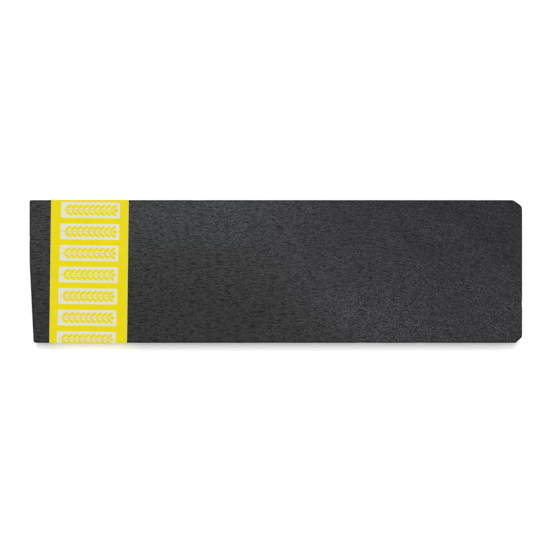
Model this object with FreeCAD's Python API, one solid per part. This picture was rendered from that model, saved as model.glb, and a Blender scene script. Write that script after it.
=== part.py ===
"""A large flat stick of wood charcoal with a printed paper band glued round one end.

The stick is a sawn slab of carbonised wood. It lies flat: +X runs along the grain from the
banded end to the drawing end, +Y across the stick, +Z up. The origin is the middle of the
underside of the whole object, on the surface that it lies on. Millimetres throughout.

The pieces are the charcoal itself, the paper band, and the film of glue that holds the band.
The band is one straight strip. It starts on the underside, goes once round the stick and laps
over its own start. It was wound on slightly out of square, so it creeps along the stick.
"""

import os
from math import radians, tan

import FreeCAD
import Part
from FreeCAD import Vector

# Charcoal stick
STICK_LENGTH = 172.3
STICK_WIDTH = 50.0
STICK_THICKNESS = 12.5
ARRIS_RADIUS = 0.4  # the long edges and the end edges are rubbed off to this radius

# Banded end: square to the stick at first, then leaning in to the -Y corner
LEAN_START = 21.5  # from the +Y side
LEAN_IN = 1.4
BANDED_PLUS_Y_RADIUS = 0.6
BANDED_MINUS_Y_RADIUS = 0.9

# Drawing end: both corners clipped, (along X, along Y), and the +Y one worn rounder
CLIP_PLUS_Y = (3.1, 2.2)
CLIP_MINUS_Y = (2.3, 2.1)
CLIP_PLUS_Y_RADIUS = 2.0
CLIP_MINUS_Y_RADIUS = 0.8

# Paper band and its glue
BAND_WIDTH = 27.1
BAND_CENTRE_FROM_END = 20.9  # measured on the upper face, at mid-width of the stick
BAND_SKEW = radians(0.72)
PAPER_THICKNESS = 0.10
GLUE_THICKNESS = 0.03
LAP_START_Y = -4.0  # where the strip starts, on the underside
LAP_LENGTH = 9.0
RAMP_LENGTH = 1.0  # the strip climbs over its own start in this length

# Places that follow
LAYER = PAPER_THICKNESS + GLUE_THICKNESS
HALF_LENGTH = STICK_LENGTH / 2
HALF_WIDTH = STICK_WIDTH / 2
UNDERSIDE = 2 * LAYER  # the lap is two layers thick and is the lowest thing on the object
UPPER_FACE = UNDERSIDE + STICK_THICKNESS
CORNER_Y = HALF_WIDTH - ARRIS_RADIUS
LOW_CORNER_Z = UNDERSIDE + ARRIS_RADIUS
HIGH_CORNER_Z = UPPER_FACE - ARRIS_RADIUS
TOUCHING = 1e-6  # closer than this is the same place


def stick_outline():
    """The stick's corners seen from above, each with the radius that its corner is rounded to."""
    return [
        (-HALF_LENGTH, HALF_WIDTH, BANDED_PLUS_Y_RADIUS),
        (-HALF_LENGTH, HALF_WIDTH - LEAN_START, None),
        (-HALF_LENGTH + LEAN_IN, -HALF_WIDTH, BANDED_MINUS_Y_RADIUS),
        (HALF_LENGTH - CLIP_MINUS_Y[0], -HALF_WIDTH, CLIP_MINUS_Y_RADIUS),
        (HALF_LENGTH, -HALF_WIDTH + CLIP_MINUS_Y[1], CLIP_MINUS_Y_RADIUS),
        (HALF_LENGTH, HALF_WIDTH - CLIP_PLUS_Y[1], CLIP_PLUS_Y_RADIUS),
        (HALF_LENGTH - CLIP_PLUS_Y[0], HALF_WIDTH, CLIP_PLUS_Y_RADIUS),
    ]


def stands_over(edge, x, y):
    """Whether the edge is vertical and stands over (x, y)."""
    ends = [vertex.Point for vertex in edge.Vertexes]
    return all(end.distanceToPoint(Vector(x, y, end.z)) < TOUCHING for end in ends)


def is_level(edge):
    """Whether the edge lies in the underside or in the upper face."""
    return edge.BoundBox.ZLength < TOUCHING


def make_stick():
    """The slab of charcoal, with its corners clipped and every edge rubbed round."""
    corners = stick_outline()
    points = [Vector(x, y, UNDERSIDE) for x, y, _ in corners]
    slab = Part.Face(Part.makePolygon(points + points[:1])).extrude(Vector(0, 0, STICK_THICKNESS))
    for x, y, radius in corners:
        if radius:
            slab = slab.makeFillet(radius, [edge for edge in slab.Edges if stands_over(edge, x, y)])
    return slab.makeFillet(ARRIS_RADIUS, [edge for edge in slab.Edges if is_level(edge)]).Solids[0]


def flat_face(*points):
    """The flat face with these corners."""
    return Part.Face(Part.makePolygon(list(points) + [points[0]]))


def strip_section(y, z, across, travelled, low, high):
    """The four corners of the strip's section where it has travelled that far round the stick.

    (y, z) is on the charcoal, across is the direction away from it, and low and high are the
    two heights above the charcoal between which the layer lies.
    """
    middle = -HALF_LENGTH + BAND_CENTRE_FROM_END - (travelled - TRAVEL_TO_MID_UPPER) * tan(BAND_SKEW)
    left, right = Vector(middle - BAND_WIDTH / 2), Vector(middle + BAND_WIDTH / 2)
    inner, outer = Vector(0, y, z) + across * low, Vector(0, y, z) + across * high
    return [inner + left, inner + right, outer + right, outer + left]


def straight_run(first, last):
    """The stretch of strip between two sections, with flat faces."""
    sides = [flat_face(first[i - 1], first[i], last[i], last[i - 1]) for i in range(len(first))]
    return Part.Solid(Part.Shell([flat_face(*first), flat_face(*last)] + sides))


def bend(section, centre):
    """The quarter turn that the strip makes round one of the stick's long edges."""
    return flat_face(*section).revolve(Vector(0, *centre), Vector(1, 0, 0), 90)


# The flats that the strip follows: start, end and outward direction, in the order it is wound
DOWN, UP = Vector(0, 0, -1), Vector(0, 0, 1)
PLUS_Y, MINUS_Y = Vector(0, 1, 0), Vector(0, -1, 0)
FLATS = [
    ((LAP_START_Y, UNDERSIDE), (CORNER_Y, UNDERSIDE), DOWN),
    ((HALF_WIDTH, LOW_CORNER_Z), (HALF_WIDTH, HIGH_CORNER_Z), PLUS_Y),
    ((CORNER_Y, UPPER_FACE), (-CORNER_Y, UPPER_FACE), UP),
    ((-HALF_WIDTH, HIGH_CORNER_Z), (-HALF_WIDTH, LOW_CORNER_Z), MINUS_Y),
    ((-CORNER_Y, UNDERSIDE), (LAP_START_Y - RAMP_LENGTH, UNDERSIDE), DOWN),
]
BEND_CENTRES = [
    (CORNER_Y, LOW_CORNER_Z),
    (CORNER_Y, HIGH_CORNER_Z),
    (-CORNER_Y, HIGH_CORNER_Z),
    (-CORNER_Y, LOW_CORNER_Z),
]
TRAVEL_TO_MID_UPPER = (CORNER_Y - LAP_START_Y) + (HIGH_CORNER_Z - LOW_CORNER_Z) + CORNER_Y


def make_layer(low, high, low_at_step):
    """One layer of the wound strip, lying between two heights above the charcoal, as one solid.

    low_at_step is what the low height has come to where the strip meets its own start.
    """
    pieces = []
    travelled = 0.0
    for (start, end, across), centre in zip(FLATS, BEND_CENTRES + [None]):
        first = strip_section(*start, across, travelled, low, high)
        travelled += abs(end[0] - start[0]) + abs(end[1] - start[1])
        last = strip_section(*end, across, travelled, low, high)
        pieces.append(straight_run(first, last))
        if centre:
            pieces.append(bend(last, centre))
    # The ramp up to the strip's own start, then the lap over it
    travelled += RAMP_LENGTH
    foot_of_step = strip_section(LAP_START_Y, UNDERSIDE, DOWN, travelled, low_at_step, high + LAYER)
    head_of_step = strip_section(LAP_START_Y, UNDERSIDE, DOWN, travelled, low + LAYER, high + LAYER)
    travelled += LAP_LENGTH
    lap_end = strip_section(LAP_START_Y + LAP_LENGTH, UNDERSIDE, DOWN, travelled, low + LAYER, high + LAYER)
    pieces += [straight_run(last, foot_of_step), straight_run(head_of_step, lap_end)]
    return pieces[0].multiFuse(pieces[1:]).removeSplitter().Solids[0]


def imprint(solid, tool):
    """The solid with its faces divided where the tool lies on them, and its shape unchanged."""
    divided, _ = solid.generalFuse([tool])
    return max(divided.Solids, key=lambda piece: piece.Volume)


def write(name, shape):
    """Checks one piece and writes it to parts/."""
    if not shape.isValid() or len(shape.Solids) != 1:
        raise ValueError(f"{name} is not one valid solid")
    shape.exportStep(os.path.join("parts", name + ".step"))
    box = shape.optimalBoundingBox()
    print(f"{name}: {box.XLength:.2f} x {box.YLength:.2f} x {box.ZLength:.2f} mm, "
          f"z from {box.ZMin:.3f}, {shape.Volume / 1000:.3f} cm3, {len(shape.Faces)} faces")


def main():
    os.makedirs("parts", exist_ok=True)
    # The glue fills the step at the strip's start, and the paper passes over it
    glue = make_layer(0.0, GLUE_THICKNESS, low_at_step=0.0)
    paper = make_layer(GLUE_THICKNESS, LAYER, low_at_step=GLUE_THICKNESS + LAYER)
    stick = imprint(make_stick(), glue)
    write("charcoal_stick", stick)
    write("label_band", paper)
    write("label_glue", glue)


main()
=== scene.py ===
# The looks of a broad flat charcoal stick with a printed paper band, made around its CAD frame.
#
# Metres, in the frame's own axes: +X from the banded end to the drawing end, +Y across the stick,
# +Z up. Shader formulas are in millimetres, so that their numbers are easy to picture.

import math

import bpy
import numpy as np
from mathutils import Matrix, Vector, noise


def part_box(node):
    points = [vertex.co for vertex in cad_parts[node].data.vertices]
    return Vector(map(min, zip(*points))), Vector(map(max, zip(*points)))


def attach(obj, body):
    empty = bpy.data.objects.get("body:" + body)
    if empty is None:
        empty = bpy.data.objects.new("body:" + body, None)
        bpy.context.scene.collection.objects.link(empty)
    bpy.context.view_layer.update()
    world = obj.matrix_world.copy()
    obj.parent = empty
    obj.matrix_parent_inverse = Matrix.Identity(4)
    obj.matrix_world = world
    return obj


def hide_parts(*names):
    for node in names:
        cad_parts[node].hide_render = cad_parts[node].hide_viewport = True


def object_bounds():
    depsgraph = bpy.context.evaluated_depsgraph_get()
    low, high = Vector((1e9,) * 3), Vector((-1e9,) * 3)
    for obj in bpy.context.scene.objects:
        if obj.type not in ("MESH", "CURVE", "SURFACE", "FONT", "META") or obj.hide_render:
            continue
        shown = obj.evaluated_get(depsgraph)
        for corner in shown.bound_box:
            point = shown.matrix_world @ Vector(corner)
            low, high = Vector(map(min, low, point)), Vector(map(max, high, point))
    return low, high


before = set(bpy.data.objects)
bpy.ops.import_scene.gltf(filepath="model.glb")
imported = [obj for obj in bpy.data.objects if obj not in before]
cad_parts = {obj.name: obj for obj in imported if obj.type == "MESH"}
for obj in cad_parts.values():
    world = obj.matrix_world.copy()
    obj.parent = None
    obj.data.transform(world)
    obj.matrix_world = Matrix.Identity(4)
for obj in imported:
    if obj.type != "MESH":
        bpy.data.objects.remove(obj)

CAD_LOW, CAD_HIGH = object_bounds()
STICK_LOW, STICK_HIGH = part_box("charcoal_stick")
MM = 0.001

# The stick's outline, as in the CAD model
ARRIS = 0.4 * MM  # radius that every edge is rubbed to
LEAN_START, LEAN_IN = 21.5 * MM, 1.4 * MM
CLIP_PLUS_Y = (3.1 * MM, 2.2 * MM)
CLIP_MINUS_Y = (2.3 * MM, 2.1 * MM)
BANDED_PLUS_Y_RADIUS = 0.6 * MM
BANDED_MINUS_Y_RADIUS = 0.9 * MM
CLIP_PLUS_Y_RADIUS = 2.0 * MM
CLIP_MINUS_Y_RADIUS = 0.8 * MM

# The paper band, as in the CAD model
BAND_WIDTH = 27.1 * MM
BAND_CENTRE_FROM_END = 20.9 * MM
BAND_SLANT = math.tan(math.radians(0.72))
PAPER = 0.10 * MM
GLUE = 0.03 * MM
LAYER = PAPER + GLUE
LAP_START_Y = -4.0 * MM
LAP_LENGTH = 9.0 * MM
RAMP_LENGTH = 1.0 * MM

# The view
VIEW_WIDTH = 192.15 * MM  # how much of the upper face's plane the picture spans
AIM = (-0.29 * MM, -1.23 * MM)  # the place in the middle of the picture
LENS, SENSOR = 100.0, 36.0  # in millimetres

# The floor, whose glow rises from one strength to the other between two distances from the middle
FLOOR_HALF_SIZE = 0.8
FLOOR_GAP = 0.02 * MM  # below the object
FLOOR_WHITE = (0.95, 0.95, 0.95)
GLOW_NEAR, GLOW_FAR = 0.2, 1.0
GLOW_START, GLOW_END = 150.0, 450.0  # in millimetres

# The strip lamp overhead and the white surround
LAMP_HEIGHT, LAMP_WIDTH, LAMP_POWER = 1.0, 0.08, 6.2
LAMP_LOW_Y, LAMP_HIGH_Y = 0.02, 0.30
SURROUND_STRENGTH = 0.5


# Shader formulas -----------------------------------------------------------------------------


class Term:
    """A number that a shader works out, so that a formula can be written as one."""

    def __init__(self, graph, socket):
        self.graph, self.socket = graph, socket

    def _with(self, operation, *others):
        return self.graph.math(operation, self, *others)

    def __add__(self, other):
        return self._with("ADD", other)

    def __sub__(self, other):
        return self._with("SUBTRACT", other)

    def __rsub__(self, other):
        return self.graph.math("SUBTRACT", other, self)

    def __mul__(self, other):
        return self._with("MULTIPLY", other)

    def __truediv__(self, other):
        return self._with("DIVIDE", other)

    def __abs__(self):
        return self._with("ABSOLUTE")

    __radd__, __rmul__ = __add__, __mul__


class Graph:
    """The node graph of one material."""

    def __init__(self, name):
        self.material = bpy.data.materials.new(name)
        self.material.use_nodes = True
        self.tree = self.material.node_tree
        self.shader = self.tree.nodes["Principled BSDF"]

    def plug(self, socket, value):
        """Gives a socket a worked-out value or a fixed one."""
        if isinstance(value, Term):
            self.tree.links.new(value.socket, socket)
        else:
            socket.default_value = value

    def math(self, operation, *values):
        """The result of one of Blender's math operations."""
        node = self.tree.nodes.new("ShaderNodeMath")
        node.operation = operation
        for socket, value in zip(node.inputs, values):
            self.plug(socket, value)
        return Term(self, node.outputs[0])

    def vector(self, x, y, z):
        """A vector from its three numbers."""
        node = self.tree.nodes.new("ShaderNodeCombineXYZ")
        for socket, value in zip(node.inputs, (x, y, z)):
            self.plug(socket, value)
        return Term(self, node.outputs[0])

    def parts(self, socket, scale):
        """The three numbers of a vector, each times scale."""
        node = self.tree.nodes.new("ShaderNodeSeparateXYZ")
        self.tree.links.new(socket, node.inputs[0])
        return [Term(self, output) * scale for output in node.outputs]

    def place(self):
        """Where the point is on the object, in millimetres."""
        node = self.tree.nodes.new("ShaderNodeTexCoord")
        return self.parts(node.outputs["Object"], 1 / MM)

    def facing(self):
        """The parts of the direction that the surface faces."""
        node = self.tree.nodes.new("ShaderNodeTexCoord")
        return self.parts(node.outputs["Normal"], 1.0)

    def stored(self, name):
        """A number stored on the mesh."""
        node = self.tree.nodes.new("ShaderNodeAttribute")
        node.attribute_name = name
        return Term(self, node.outputs["Fac"])

    def stored_place(self, name):
        """The parts of a place stored on the mesh in metres, in millimetres."""
        node = self.tree.nodes.new("ShaderNodeAttribute")
        node.attribute_name = name
        return self.parts(node.outputs["Vector"], 1 / MM)

    def noise(self, place, detail=2.0, roughness=0.5):
        """Noise about zero, mostly between -0.5 and 0.5, with features about one unit of place apart."""
        node = self.tree.nodes.new("ShaderNodeTexNoise")
        node.inputs["Scale"].default_value = 1.0
        node.inputs["Detail"].default_value = detail
        node.inputs["Roughness"].default_value = roughness
        self.plug(node.inputs["Vector"], place)
        return Term(self, node.outputs["Fac"]) - 0.5

    def ramp(self, value, low, high):
        """0 where value is at low, 1 where it is at high, and smooth between."""
        node = self.tree.nodes.new("ShaderNodeMapRange")
        node.interpolation_type = "SMOOTHSTEP"
        for name, number in (("Value", value), ("From Min", low), ("From Max", high)):
            self.plug(node.inputs[name], number)
        return Term(self, node.outputs["Result"])

    def mix(self, share, first, second):
        """The colour first where share is 0 and second where it is 1."""
        node = self.tree.nodes.new("ShaderNodeMix")
        node.data_type = "RGBA"
        for name, value in (("Factor_Float", share), ("A_Color", first), ("B_Color", second)):
            socket = next(s for s in node.inputs if s.identifier == name)
            self.plug(socket, value if isinstance(value, Term) else (*value, 1.0))
        return Term(self, next(s for s in node.outputs if s.identifier == "Result_Color"))

    def shade(self, colour, brightness):
        """The colour with each of its channels times brightness."""
        node = self.tree.nodes.new("ShaderNodeVectorMath")
        node.operation = "SCALE"
        self.plug(node.inputs[0], colour)
        self.plug(node.inputs["Scale"], brightness)
        return Term(self, node.outputs[0])

    def finish(self, colour, roughness, relief, relief_depth, specular):
        """Joins the results to the shader. relief_depth is how deep a relief of 1 is, in metres."""
        self.plug(self.shader.inputs["Base Color"], colour)
        self.plug(self.shader.inputs["Roughness"], roughness)
        self.shader.inputs["Specular IOR Level"].default_value = specular
        bump = self.tree.nodes.new("ShaderNodeBump")
        bump.inputs["Distance"].default_value = relief_depth
        self.plug(bump.inputs["Height"], relief)
        self.tree.links.new(bump.outputs["Normal"], self.shader.inputs["Normal"])
        return self.material


# Charcoal ------------------------------------------------------------------------------------

CHARCOAL_GREY = (0.0275, 0.0272, 0.0268)
CHARCOAL_BLUE = (0.0264, 0.0261, 0.0290)
CHARCOAL_TEAL = (0.0256, 0.0277, 0.0291)

# Growth rings, in millimetres. Two cross the upper face, and each is level and then curves to -Y.
RING_TOP = 12.76  # height of the upper face, where the ring lines are placed
RING_SLOPE = 0.8  # how far a ring moves to -Y for each millimetre down
FIRST_RING = (3.0, -25.0, 0.010)  # Y while level, X where it starts to curve, and how hard
SECOND_RING = (25.5, 36.0, 0.0137)
FINE_RING_TURNS = 44.0  # radians of a fine ripple between the two
PITH_Y, PITH_Z = -14.0, -40.0  # the middle of the tree, seen on the sawn ends
RING_SPACING, RAYS_PER_TURN = 1.5, 600.0

# Past this X, in millimetres, the grain turns with the rings, and how hard
GRAIN_TURN_START, GRAIN_TURN = 15.0, 0.004

GRAIN_RELIEF = 0.05 * MM


# Tones are natural logarithms of brightness, so that they add up


def ring_tone(g, x, y, z, wander, upper_left):
    """How light the wood is from one growth ring to the next."""

    def ring_line(level, start, curve):
        past = g.math("MAXIMUM", x - start, 0.0)
        return level - past * past * curve

    across = y + (RING_TOP - z) * RING_SLOPE + wander
    first, second = ring_line(*FIRST_RING), ring_line(*SECOND_RING)
    ring = (across - first) / (second - first)  # 0 on the first line and 1 on the second
    tone = g.ramp(across - first, -18.0, 14.0) * 0.35 - g.ramp(across - second, -1.0, 3.0) * 0.16
    tone = tone + upper_left * 0.14 - g.ramp(x + y * 0.6, 0.0, 60.0) * 0.38
    return tone + g.math("SINE", ring * FINE_RING_TURNS + wander * 0.5) * 0.02


def late_wood_tone(g, y, z, wander, is_end, is_long_side):
    """How dark the late wood is on the sawn sides.

    On the ends the rings are arcs about the middle of the tree, uneven in width and crossed by fine
    rays. On the long sides they are faint lines along the grain.
    """
    off_y, off_z = y - PITH_Y, z - PITH_Z
    from_pith = g.math("SQRT", off_y * off_y + off_z * off_z)
    uneven = wander * 0.12 + g.noise(g.vector(from_pith * 0.3, 0.0, 0.0), detail=1.0) * 3.0
    arcs = g.math("SINE", (from_pith + uneven) * (2 * math.pi / RING_SPACING))
    rays = g.math("SINE", g.math("ARCTAN2", off_y, off_z) * RAYS_PER_TURN + wander * 2.0)
    return g.ramp(arcs, 0.0, 1.0) * (is_end * 0.6 + is_long_side * 0.22) + rays * is_end * 0.08


def grain_tone(g, x, grain_y, z, is_open, is_long_side):
    """Streaks along the grain, and granules where the grain is open."""
    long_streaks = g.noise(g.vector(x * 0.13, grain_y * 1.9, z * 1.9), detail=2.0)
    short_streaks = g.noise(g.vector(x * 1.2, grain_y * 4.4, z * 4.4), detail=0.0)
    specks = g.noise(g.vector(x * 3.8, grain_y * 4.8, z * 4.8), detail=0.0)
    streaks = long_streaks * (0.3 + is_long_side * 1.6) + short_streaks * (1.9 - is_open * 0.7)
    granules = specks * (2.6 + is_open * 3.0) * (1.0 - is_long_side * 0.6)
    return streaks + granules


def fissures(g, x, grain_y, z, length, seed):
    """1 on thin lines along the grain, broken into pieces about that long, and 0 elsewhere."""
    line = g.noise(g.vector(x * 0.8 / length, grain_y * 3.4 + seed, z * 3.4), detail=0.0)
    here = g.noise(g.vector(x * 0.9 / length + seed, grain_y * 2.2, z * 2.2), detail=0.0)
    return (1.0 - g.ramp(abs(line), 0.03, 0.09)) * g.ramp(here, 0.05, 0.12)


def charcoal_material():
    """Charred wood: grain along X, growth rings that sweep across the face, fissures, painted glints and
    painted shade along the edges.
    """
    g = Graph("charcoal")
    x, y, z = g.place()
    facing_x, facing_y, _ = g.facing()
    is_end, is_long_side = g.ramp(abs(facing_x), 0.6, 0.9), g.ramp(abs(facing_y), 0.6, 0.9)
    left_half = g.ramp(x, 20.0, -20.0) * g.ramp(x, -75.0, -55.0)  # from under the band to the middle
    upper_left = g.ramp(y, 5.0, 25.0) * left_half
    lower_right = g.ramp(x - y * 1.6, 16.0, 40.0) * g.ramp(y, 8.0, -8.0)

    wander = g.noise(g.vector(x * 0.06, y * 0.12, z * 0.12)) * 7.0
    rings = ring_tone(g, x, y, z, wander, upper_left)
    late_wood = late_wood_tone(g, y, z, wander, is_end, is_long_side)

    # The grain is streaky near the band and granular near the drawing end, and stronger in patches
    turned = g.math("MAXIMUM", x - GRAIN_TURN_START, 0.0)
    grain_y = y + turned * turned * GRAIN_TURN
    is_open = g.ramp(x + y * 0.6, -60.0, 60.0)
    patches = g.ramp(g.noise(g.vector(x * 0.09, y * 0.18, z * 0.18)), -0.2, 0.2)
    strength = 0.63 + patches * 0.34 + lower_right * 0.3 + upper_left * 0.26
    grain = grain_tone(g, x, grain_y, z, is_open, is_long_side) * strength * (1.0 - is_end * 0.4)

    long_ones = fissures(g, x, grain_y, z, length=2.8, seed=30.0)
    short_ones = fissures(g, x, grain_y, z, length=1.6, seed=70.0)
    open_fissures = g.math("MAXIMUM", long_ones, short_ones) * (1.0 - is_open * 0.35)
    # Glints: light specks added to the colour as painted highlights, fewer on the long sides and none on
    # the ends
    painted_glints = g.ramp(g.noise(g.vector(x * 3.0 + 30.0, y * 4.0, z * 4.0), detail=0.0), 0.24, 0.34)
    painted_glints = painted_glints * (1.0 - is_end) * (1.0 - is_long_side * 0.7)
    painted_edge_shade = g.stored("painted_edge_shade")  # 1 along the edges: painted shade darkens the colour there, and the surface is a little smoother

    # The glints lighten the colour as painted highlights, and the edge mask darkens it as painted shade
    # along the rounded edges
    total = rings + grain - open_fissures * 1.5 + painted_glints * 0.25 - late_wood - painted_edge_shade * 1.4
    hue = g.mix(g.ramp(x + y * 0.8, -50.0, 30.0), CHARCOAL_GREY, CHARCOAL_BLUE)
    teal = g.ramp(y, 2.0, 14.0) * left_half * (patches * 0.5 + 0.5)
    colour = g.shade(g.mix(teal, hue, CHARCOAL_TEAL), g.math("EXPONENT", total))
    roughness = 0.75 - grain * 0.06 + open_fissures * 0.1 - painted_edge_shade * 0.1
    relief = grain * 0.3 - open_fissures - late_wood
    return g.finish(colour, roughness, relief, GRAIN_RELIEF, specular=0.2)


def outline():
    """The stick's corners seen from above, counter-clockwise, and the radius of each."""
    low, high = STICK_LOW, STICK_HIGH
    corners = np.array([
        (low.x, high.y),
        (low.x, high.y - LEAN_START),
        (low.x + LEAN_IN, low.y),
        (high.x - CLIP_MINUS_Y[0], low.y),
        (high.x, low.y + CLIP_MINUS_Y[1]),
        (high.x, high.y - CLIP_PLUS_Y[1]),
        (high.x - CLIP_PLUS_Y[0], high.y),
    ])
    minus_y, plus_y = CLIP_MINUS_Y_RADIUS, CLIP_PLUS_Y_RADIUS
    return corners, [BANDED_PLUS_Y_RADIUS, 0, BANDED_MINUS_Y_RADIUS, minus_y, minus_y, plus_y, plus_y]


def edges_of(corners):
    """The start, direction, outward normal and length of each side of a counter-clockwise outline."""
    ahead = np.roll(corners, -1, axis=0) - corners
    length = np.linalg.norm(ahead, axis=1)
    ahead = ahead / length[:, None]
    return corners, ahead, np.stack([ahead[:, 1], -ahead[:, 0]], axis=1), length


def rounded(corners, radii, steps=6):
    """The outline with an arc of the given radius, in short straight steps, at each corner."""
    out = edges_of(corners)[2]
    points = []
    for i, (corner, radius) in enumerate(zip(corners, radii)):
        before, after = out[i - 1], out[i]
        centre = corner - (before + after) / (1 + before @ after) * radius
        first = math.atan2(before[1], before[0])
        turn = math.acos(before @ after)
        for angle in first + turn * np.linspace(0, 1, steps + 1 if radius else 1):
            points.append(centre + radius * np.array([math.cos(angle), math.sin(angle)]))
    return np.array(points)


EDGES = edges_of(rounded(*outline()))


def outside_outline(x, y):
    """How far each point is outside the round-cornered outline, below zero inside it."""
    nearest = np.full(x.shape, np.inf)
    furthest_side = np.full(x.shape, -np.inf)
    for start, ahead, out, length in zip(*EDGES):
        dx, dy = x - start[0], y - start[1]
        along = np.clip(dx * ahead[0] + dy * ahead[1], 0, length)
        nearest = np.minimum(nearest, np.hypot(dx - along * ahead[0], dy - along * ahead[1]))
        furthest_side = np.maximum(furthest_side, dx * out[0] + dy * out[1])
    return np.where(furthest_side > 0, nearest, furthest_side)


def outside_slab(points):
    """How far each point is outside the slab with all its edges rubbed round."""
    middle, half = (STICK_LOW.z + STICK_HIGH.z) / 2, (STICK_HIGH.z - STICK_LOW.z) / 2
    plan = outside_outline(points[:, 0], points[:, 1]) + ARRIS
    level = np.abs(points[:, 2] - middle) - half + ARRIS
    past_corner = np.hypot(np.maximum(plan, 0), np.maximum(level, 0))
    return np.minimum(np.maximum(plan, level), 0) + past_corner - ARRIS


def outward(points):
    """The direction straight out of the slab at each point."""
    step = 0.01 * MM
    offsets = np.eye(3) * step
    slopes = [outside_slab(points + offset) - outside_slab(points - offset) for offset in offsets]
    slopes = np.stack(slopes, axis=1)
    return slopes / np.linalg.norm(slopes, axis=1)[:, None]


def stations(low, high, step):
    """Places from low to high about a step apart, and closer beside both ends."""
    closer = np.array([0.0, 0.1, 0.2, 0.32, 0.46, 0.65]) * MM
    inner_low, inner_high = low + closer[-1], high - closer[-1]
    inner = np.linspace(inner_low, inner_high, round((inner_high - inner_low) / step) + 1)
    return np.concatenate([low + closer[:-1], inner, (high - closer[:-1])[::-1]])


def box_lattice(counts):
    """The surface of a lattice box: its points as indices along X, Y and Z, and its quads."""
    last = np.array(counts) - 1
    index = np.indices(counts).reshape(3, -1).T
    on_surface = ((index == 0) | (index == last)).any(axis=1)
    number = np.full(len(index), -1)
    number[on_surface] = np.arange(on_surface.sum())
    number = number.reshape(counts)
    quads = []
    for axis in range(3):
        for at_end in (False, True):
            sheet = np.take(number, last[axis] if at_end else 0, axis=axis)
            corners = [sheet[:-1, :-1], sheet[1:, :-1], sheet[1:, 1:], sheet[:-1, 1:]]
            if at_end == (axis == 1):
                corners.reverse()
            quads.append(np.stack(corners, axis=-1).reshape(-1, 4))
    return index[on_surface], np.concatenate(quads)


def make_mesh(name, points, quads, flat=0):
    """A mesh object from arrays of points and quads, smooth but for the last flat quads."""
    mesh = bpy.data.meshes.new(name)
    mesh.from_pydata(points.tolist(), [], quads.tolist())
    mesh.polygons.foreach_set("use_smooth", np.arange(len(quads)) < len(quads) - flat)
    mesh.update()
    piece = bpy.data.objects.new(name, mesh)
    bpy.context.scene.collection.objects.link(piece)
    return piece


def store(piece, name, values):
    """Stores one number, or one vector, on each point of the mesh."""
    kind, part = ("FLOAT", "value") if values.ndim == 1 else ("FLOAT_VECTOR", "vector")
    stored = piece.data.attributes.new(name, kind, "POINT")
    stored.data.foreach_set(part, values.ravel())


def noise_at(points, scale):
    """Smooth noise from -1 to 1 at each point, its coordinates in millimetres times scale."""
    scaled = points / MM * np.array(scale)
    return np.array([noise.noise(Vector(place)) for place in scaled])


# How far in from the edges the painted edge shade reaches, and how softly that stops, in millimetres
EDGE_SHADE_WIDTH, EDGE_SHADE_FADE = 0.62, 0.25

# How deep the real surface lies inside the true slab, and how far wear reaches in, in millimetres
GROOVE_DEPTH, GRANULE_DEPTH = 0.02, 0.02
WEAR_DEPTH, WEAR_REACH = 0.03, 0.3
CHIP_DEPTH, CHIP_REACH, CHIP_RARITY = 0.4, 0.7, 0.35


def from_arris(points):
    """How far each point on the true slab is from its rubbed edges, in millimetres."""
    plan = -outside_outline(points[:, 0], points[:, 1])
    level = np.minimum(points[:, 2] - STICK_LOW.z, STICK_HIGH.z - points[:, 2])
    return np.maximum(plan, level) / MM


def charcoal_depth(points):
    """How far the real surface lies inside the true slab: grain, granules, wear and chipped edges."""
    away = from_arris(points)
    grooves = 0.5 + 0.5 * noise_at(points, (0.12, 1.5, 1.5))
    granules = 0.5 + 0.5 * noise_at(points, (0.7, 2.2, 2.2))
    wear = 0.5 + 0.5 * noise_at(points, (0.35, 0.5, 0.5))
    chips = np.clip(noise_at(points + 7.0, (0.22, 0.22, 0.22)) - CHIP_RARITY, 0, 1)
    depth = GROOVE_DEPTH * grooves + GRANULE_DEPTH * granules
    depth += np.exp(-away / WEAR_REACH) * WEAR_DEPTH * wear
    depth += np.exp(-away / CHIP_REACH) * CHIP_DEPTH * chips
    return depth * MM


def make_charcoal():
    """The slab of charcoal: a lattice box drawn onto the true slab, then worn."""
    low, high = STICK_LOW, STICK_HIGH
    ys, zs = stations(low.y, high.y, 0.34 * MM), stations(low.z, high.z, 0.4 * MM)
    shares = (stations(low.x, high.x, 0.95 * MM) - low.x) / (high.x - low.x)
    index, quads = box_lattice((len(shares), len(ys), len(zs)))
    y = ys[index[:, 1]]
    corners, _ = outline()
    banded_side, drawing_side = corners[[2, 1, 0]], corners[[3, 4, 5, 6]]
    first_x = np.interp(y, banded_side[:, 1], banded_side[:, 0])
    last_x = np.interp(y, drawing_side[:, 1], drawing_side[:, 0])
    x = first_x + (last_x - first_x) * shares[index[:, 0]]
    points = np.stack([x, y, zs[index[:, 2]]], axis=1)
    for _ in range(3):
        points -= outward(points) * outside_slab(points)[:, None]
    worn = points - outward(points) * charcoal_depth(points)[:, None]
    piece = make_mesh("charcoal", worn, quads)
    # The band along the edges where the charcoal's colour is darkened as painted shade
    store(piece, "painted_edge_shade", np.clip((EDGE_SHADE_WIDTH - from_arris(points)) / EDGE_SHADE_FADE, 0, 1))
    piece.data.materials.append(charcoal_material())
    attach(piece, "root")
    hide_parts("charcoal_stick")


# Paper band ----------------------------------------------------------------------------------

YELLOW = (0.745, 0.63, 0.0035)
PAPER_WHITE = (0.675, 0.69, 0.63)

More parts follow.
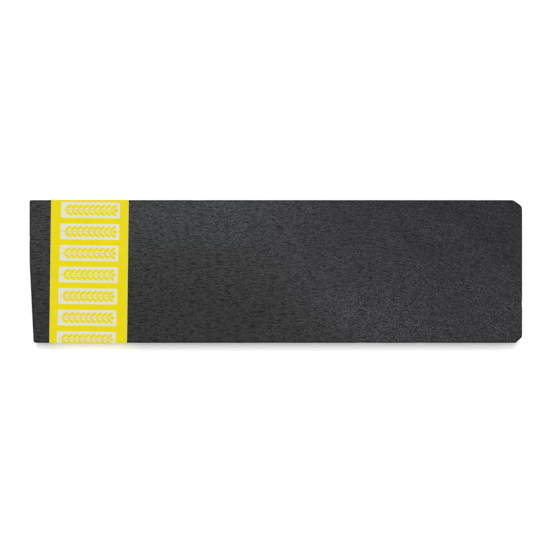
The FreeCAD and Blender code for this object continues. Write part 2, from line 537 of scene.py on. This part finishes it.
# The print, in millimetres. Each white panel holds a sprig of paired leaves.
ROW_PITCH = 7.525
FIRST_PANEL_FROM_MIDDLE = -21.43  # along the strip, from the middle of the upper face
FIRST_PANEL_OFF_CENTRE = 0.27
PANEL_DRIFT = -0.16  # from one panel to the next, across the strip
PANEL_HALF_LENGTH, PANEL_HALF_HEIGHT = 10.23, 2.71
UNPRINTED_MARGIN = 0.12
LEAF_PITCH, LEAF_PAIRS = 1.95, 9
LEAF_START, LEAF_LENGTH = 0.12, 2.05  # from the stem's middle, measured across the stem
LEAF_HALF_WIDTH, LEAF_SLOPE, LEAF_INSET = 0.96, 0.85, 0.05
LEAF_SHIFT = -0.75  # along the stem, so that the leaning leaves sit evenly in the panel
STEM_START, STEM_END, STEM_HALF_WIDTH = -9.8, 8.4, 0.22
TIP_START, TIP_LENGTH, TIP_HALF_WIDTH = 7.9, 1.9, 0.75
INK_SOFTNESS, INK_WANDER = 0.04, 0.12
PAPER_RELIEF = 0.012 * MM


def paper_material(middle):
    """Paper printed yellow, with a row of white panels that each hold a yellow sprig.

    middle is how far along the strip the middle of the upper face is.
    """
    g = Graph("band_paper")
    along, across, _ = g.stored_place("flat")
    ragged = g.noise(g.vector(along * 2.5, across * 2.5, 0.0), detail=2.0) * INK_WANDER

    # u and v are the place in the panel, from its middle: u across the strip and v along it
    start = middle / MM + FIRST_PANEL_FROM_MIDDLE - ROW_PITCH / 2
    travelled = along - across * BAND_SLANT - start
    row = g.math("FLOOR", travelled / ROW_PITCH)
    v = travelled - (row + 0.5) * ROW_PITCH + ragged
    u = across - row * PANEL_DRIFT - FIRST_PANEL_OFF_CENTRE + ragged

    def inside(distance_in):
        """1 inside an edge and 0 outside it, with the ink's own softness between."""
        return g.ramp(distance_in, -INK_SOFTNESS, INK_SOFTNESS)

    def leaf(share, off_middle, half_width):
        """A leaf, where share is 0 at its foot and 1 at its tip."""
        return inside(share * (1.0 - share) * (4 * half_width) - off_middle - LEAF_INSET)

    panel = inside(PANEL_HALF_LENGTH - abs(u)) * inside(PANEL_HALF_HEIGHT - abs(v))
    reach = abs(v)
    foot = u - reach * LEAF_SLOPE - LEAF_SHIFT
    off_middle = abs(g.math("FRACT", foot / LEAF_PITCH + LEAF_PAIRS / 2) - 0.5) * LEAF_PITCH
    leaves = leaf((reach - LEAF_START) / LEAF_LENGTH, off_middle, LEAF_HALF_WIDTH)
    leaves = leaves * inside(LEAF_PAIRS * LEAF_PITCH / 2 - abs(foot))
    tip = leaf((u - TIP_START) / TIP_LENGTH, reach, TIP_HALF_WIDTH)
    stem = inside(STEM_HALF_WIDTH - reach) * inside(u - STEM_START) * inside(STEM_END - u)
    sprig = g.math("MAXIMUM", g.math("MAXIMUM", leaves, tip), stem)

    half_width = BAND_WIDTH / 2 / MM
    bare_edge = g.ramp(abs(across), half_width - UNPRINTED_MARGIN, half_width)
    cracks = g.ramp(g.noise(g.vector(along * 5.0, across * 1.2, 0.0), detail=2.0), 0.02, 0.15)
    worn = g.stored("fold") * cracks * 0.5
    white = g.math("MAXIMUM", g.math("MAXIMUM", panel * (1.0 - sprig), bare_edge), worn)
    fibres = g.noise(g.vector(along * 3.0, across * 3.0, 0.0), detail=4.0, roughness=0.7)
    mottle = g.noise(g.vector(along * 0.25, across * 0.25, 0.0), detail=2.0)
    clouds = g.noise(g.vector(along * 0.18, across * 0.5, 9.0), detail=4.0, roughness=0.7)
    smudges = g.ramp(clouds, 0.05, 0.3)
    brightness = 1.0 + fibres * 0.12 + mottle * 0.08 - smudges * 0.06
    colour = g.shade(g.mix(white, YELLOW, PAPER_WHITE), brightness)
    roughness = 0.6 + white * 0.15 + fibres * 0.1
    return g.finish(colour, roughness, fibres, PAPER_RELIEF, specular=0.05)


STATIONS_IN_BEND = 6


def route():
    """The strip's route round the charcoal, as a list of (length, whether it bends).

    It starts on the underside, heads for +Y, and turns four times to reach the lap.
    """
    bend = (ARRIS * math.pi / 2, True)
    half_width, height = STICK_HIGH.y - ARRIS, STICK_HIGH.z - STICK_LOW.z - 2 * ARRIS
    first, last = half_width - LAP_START_Y, half_width + LAP_START_Y + LAP_LENGTH
    upright, over = (height, False), (2 * half_width, False)
    return [(first, False), bend, upright, bend, over, bend, upright, bend, (last, False)]


def way_ahead(heading):
    """The way (y, z) that the strip runs at a heading, which is 0 towards +Y."""
    return np.array([math.cos(heading), math.sin(heading)])


def way_out(heading):
    """The way (y, z) straight out of the charcoal at a heading."""
    return np.array([math.sin(heading), -math.cos(heading)])


def walk(step):
    """Stations along the route: distance travelled, place (y, z) on the charcoal, outward direction."""
    place, heading, travelled = np.array([LAP_START_Y, STICK_LOW.z]), 0.0, 0.0
    rows = []
    for length, bends in route():
        turn = math.pi / 2 if bends else 0.0
        count = STATIONS_IN_BEND if bends else max(2, round(length / step))
        for share in np.linspace(0, 1, count, endpoint=False):
            out = way_out(heading + turn * share)
            moved = (out - way_out(heading)) * ARRIS if bends else way_ahead(heading) * length * share
            rows.append((travelled + length * share, *(place + moved), *out))
        round_bend = (way_out(heading + turn) - way_out(heading)) * ARRIS
        place = place + (round_bend if bends else way_ahead(heading) * length)
        heading += turn
        travelled += length
    rows.append((travelled, *place, *way_out(heading)))
    return np.array(rows)


def middle_of_upper_face():
    """How far the strip has travelled when it is halfway across the upper face."""
    lengths = [length for length, _ in route()]
    return sum(lengths[:4]) + lengths[4] / 2


def climb(travelled, total):
    """How far the strip stands off the charcoal on its ramp and its lap."""
    ramp_start = total - LAP_LENGTH - RAMP_LENGTH
    share = np.clip((travelled - ramp_start) / RAMP_LENGTH, 0, 1)
    return LAYER * share * share * (3 - 2 * share)


# How far loose places of the paper stand up, and how far in from a cut edge, in millimetres
RIDGE_LIFT, CURL_LIFT, CURL_REACH = 0.05, 0.08, 0.8
GLUE_CLEARANCE = 0.002 * MM  # between the paper and its glue


def loose_lift(flat, across, shape):
    """How far the paper stands up: soft ridges all over, and curls along its cut edges."""
    ridges = np.clip(noise_at(flat, (0.10, 0.35, 1.0)) - 0.1, 0, 1).reshape(shape)
    edge = np.exp(-(BAND_WIDTH / 2 - np.abs(across)) / (CURL_REACH * MM))[None, :]
    curl = np.clip(noise_at(flat + 3.0, (0.12, 0.05, 1.0)), 0, 1).reshape(shape)
    return (RIDGE_LIFT * ridges + CURL_LIFT * edge * curl) * MM


def closed_sheet_quads(number):
    """The quads of a closed thin sheet, and how many at the end of them are its cut edges.

    number is the grid of its upper points. The lower points follow in the same order.
    """
    corners = [number[:-1, :-1], number[1:, :-1], number[1:, 1:], number[:-1, 1:]]
    over = np.stack(corners, axis=-1).reshape(-1, 4)
    under = over[:, ::-1] + number.size
    rim = np.concatenate([number[0, :], number[1:, -1], number[-1, -2::-1], number[-2:0:-1, 0]])
    next_on_rim = np.roll(rim, -1)
    sides = np.stack([rim, next_on_rim, next_on_rim + number.size, rim + number.size], axis=-1)
    return np.concatenate([over, under, sides]), len(sides)


def make_band():
    """The paper band: a closed thin sheet that follows the route."""
    travelled, y, z, out_y, out_z = walk(0.5 * MM).T
    middle = middle_of_upper_face()
    across = stations(-BAND_WIDTH / 2, BAND_WIDTH / 2, 0.7 * MM)
    centre_x = STICK_LOW.x + BAND_CENTRE_FROM_END - (travelled - middle) * BAND_SLANT
    x = centre_x[:, None] + across[None, :]
    flat_along, flat_across = np.meshgrid(travelled, across, indexing="ij")
    flat = np.stack([flat_along, flat_across, np.zeros_like(flat_along)], axis=-1).reshape(-1, 3)

    on_underside = (out_z < -0.99)[:, None]  # where its weight presses the paper flat
    lift = np.where(on_underside, 0.0, loose_lift(flat, across, x.shape))
    base = climb(travelled, travelled[-1])[:, None] + lift
    layers = []
    for height in (base + LAYER, base + GLUE + GLUE_CLEARANCE):
        off_y, off_z = out_y[:, None] * height, out_z[:, None] * height
        layers.append(np.stack([x, y[:, None] + off_y, z[:, None] + off_z], axis=-1).reshape(-1, 3))

    quads, cut_edges = closed_sheet_quads(np.arange(x.size).reshape(x.shape))
    piece = make_mesh("paper_band", np.concatenate(layers), quads, flat=cut_edges)
    store(piece, "flat", np.concatenate([flat, flat]))
    fold = np.repeat(np.abs(2 * out_y * out_z), len(across))  # 1 halfway round each bend
    store(piece, "fold", np.concatenate([fold, fold]))
    piece.data.materials.append(paper_material(middle))
    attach(piece, "root")
    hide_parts("label_band")


# Glue ----------------------------------------------------------------------------------------

DRIED_PASTE, DUSTY_PASTE = (0.55, 0.51, 0.40), (0.08, 0.08, 0.08)
PASTE_RELIEF = 0.01 * MM


def dress_glue():
    """Dried paste: cloudy, and dark where charcoal dust has stuck to it."""
    g = Graph("dried_paste")
    x, y, z = g.place()
    clouds = g.noise(g.vector(x * 0.8, y * 0.8, z * 0.8), detail=3.0)
    dust = g.ramp(g.noise(g.vector(x * 3.0, y * 3.0, z * 3.0), detail=2.0), 0.0, 0.25)
    colour = g.shade(g.mix(dust, DRIED_PASTE, DUSTY_PASTE), 1.0 + clouds * 0.3)
    material = g.finish(colour, 0.45 + clouds * 0.3, clouds, PASTE_RELIEF, specular=0.4)
    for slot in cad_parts["label_glue"].material_slots:
        slot.material = material


# Floor, light and camera ---------------------------------------------------------------------


def make_floor():
    """A large white lit table, just under the object, that glows whiter away from it."""
    half, z = FLOOR_HALF_SIZE, CAD_LOW.z - FLOOR_GAP
    corners = np.array([(-half, -half, z), (half, -half, z), (half, half, z), (-half, half, z)])
    floor = make_mesh("floor", corners, np.array([[0, 1, 2, 3]]))
    g = Graph("white_table")
    x, y, _ = g.place()
    haze = g.noise(g.vector(x * 0.002, y * 0.002, 0.0))
    g.plug(g.shader.inputs["Base Color"], g.shade(FLOOR_WHITE, 1.0 + haze * 0.02))
    g.shader.inputs["Roughness"].default_value = 1.0
    g.shader.inputs["Specular IOR Level"].default_value = 0.0
    g.shader.inputs["Emission Color"].default_value = (1.0, 1.0, 1.0, 1.0)
    from_middle = g.math("SQRT", x * x + y * y)
    glow = g.ramp(from_middle, GLOW_START, GLOW_END) * (GLOW_FAR - GLOW_NEAR) + GLOW_NEAR
    g.plug(g.shader.inputs["Emission Strength"], glow)
    floor.data.materials.append(g.material)


def make_light():
    """One soft strip overhead, a little towards +Y, and an even white surround."""
    lamp = bpy.data.lights.new("overhead_strip", "AREA")
    lamp.shape = "RECTANGLE"
    lamp.size, lamp.size_y = LAMP_WIDTH, LAMP_HIGH_Y - LAMP_LOW_Y
    lamp.energy = LAMP_POWER
    strip = bpy.data.objects.new("overhead_strip", lamp)
    strip.location = (0, (LAMP_LOW_Y + LAMP_HIGH_Y) / 2, LAMP_HEIGHT)
    bpy.context.scene.collection.objects.link(strip)

    world = bpy.data.worlds.new("white_surround")
    world.use_nodes = True
    tree = world.node_tree
    lit = tree.nodes["Background"]
    lit.inputs["Color"].default_value = (1, 1, 1, 1)
    lit.inputs["Strength"].default_value = SURROUND_STRENGTH
    seen = tree.nodes.new("ShaderNodeBackground")
    seen.inputs["Color"].default_value = (1, 1, 1, 1)
    path = tree.nodes.new("ShaderNodeLightPath")
    choose = tree.nodes.new("ShaderNodeMixShader")
    tree.links.new(path.outputs["Is Camera Ray"], choose.inputs[0])
    tree.links.new(lit.outputs[0], choose.inputs[1])
    tree.links.new(seen.outputs[0], choose.inputs[2])
    tree.links.new(choose.outputs[0], tree.nodes["World Output"].inputs["Surface"])
    bpy.context.scene.world = world


def make_camera():
    """Straight above, with +X to the right."""
    lens = bpy.data.cameras.new("camera")
    lens.lens, lens.sensor_width = LENS, SENSOR
    camera = bpy.data.objects.new("camera", lens)
    camera.location = (*AIM, STICK_HIGH.z + VIEW_WIDTH * LENS / SENSOR)
    bpy.context.scene.collection.objects.link(camera)
    bpy.context.scene.camera = camera
    bpy.context.scene.view_settings.view_transform = "Standard"


make_camera()
make_light()
make_floor()
make_charcoal()
make_band()
dress_glue()

bpy.context.view_layer.update()
